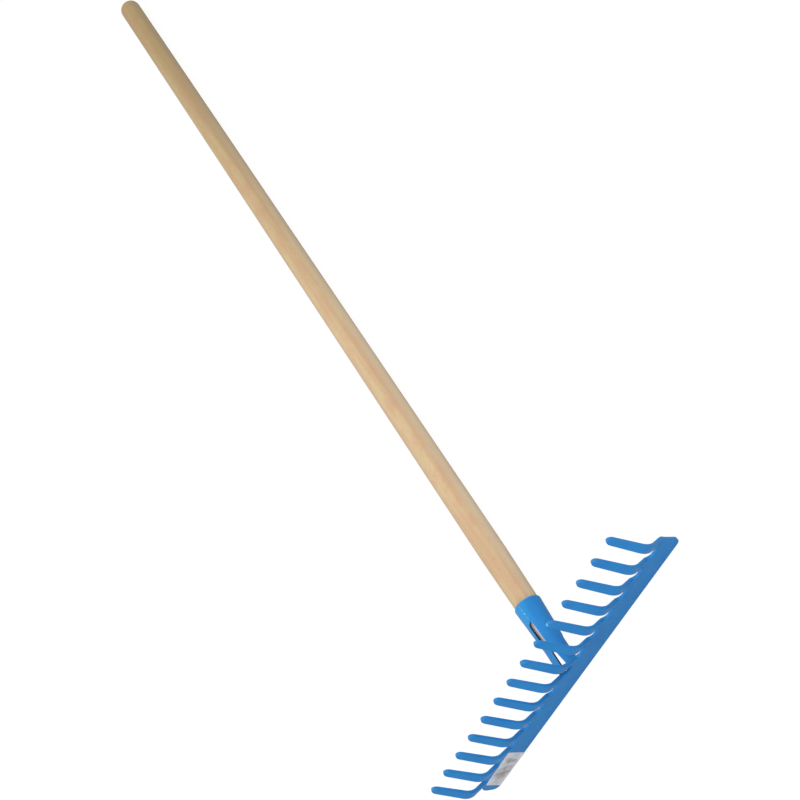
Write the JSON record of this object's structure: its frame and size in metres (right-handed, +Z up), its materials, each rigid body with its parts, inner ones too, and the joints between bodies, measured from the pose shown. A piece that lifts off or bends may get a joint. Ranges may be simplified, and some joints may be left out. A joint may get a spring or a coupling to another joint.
{
  "type": "garden rake",
  "caption": "Garden rake: one-piece pressed steel head with bent teeth and a straight back edge, welded rolled socket, nailed round wooden handle.",
  "frame": {"origin": "centre of the bounding box's footprint, on the ground under the straight back edge", "axes": "the rake lies on its back: +Y runs along the handle towards the grip end, +X along the head, +Z up, the way the teeth point"},
  "size_m": [0.3602, 1.267, 0.0897],
  "materials": {
    "beech_wood": "sanded, unvarnished",
    "blue_enamel": "semi-gloss blue paint over steel",
    "zinc_steel": "zinc plated"
  },
  "bodies": {
    "root": {"handle": "beech_wood", "socket": "blue_enamel", "rake_head": "blue_enamel", "seam_weld": "blue_enamel", "left_foot_weld": "blue_enamel", "right_foot_weld": "blue_enamel", "fixing_nail": "zinc_steel"}
  },
  "joints": []
}
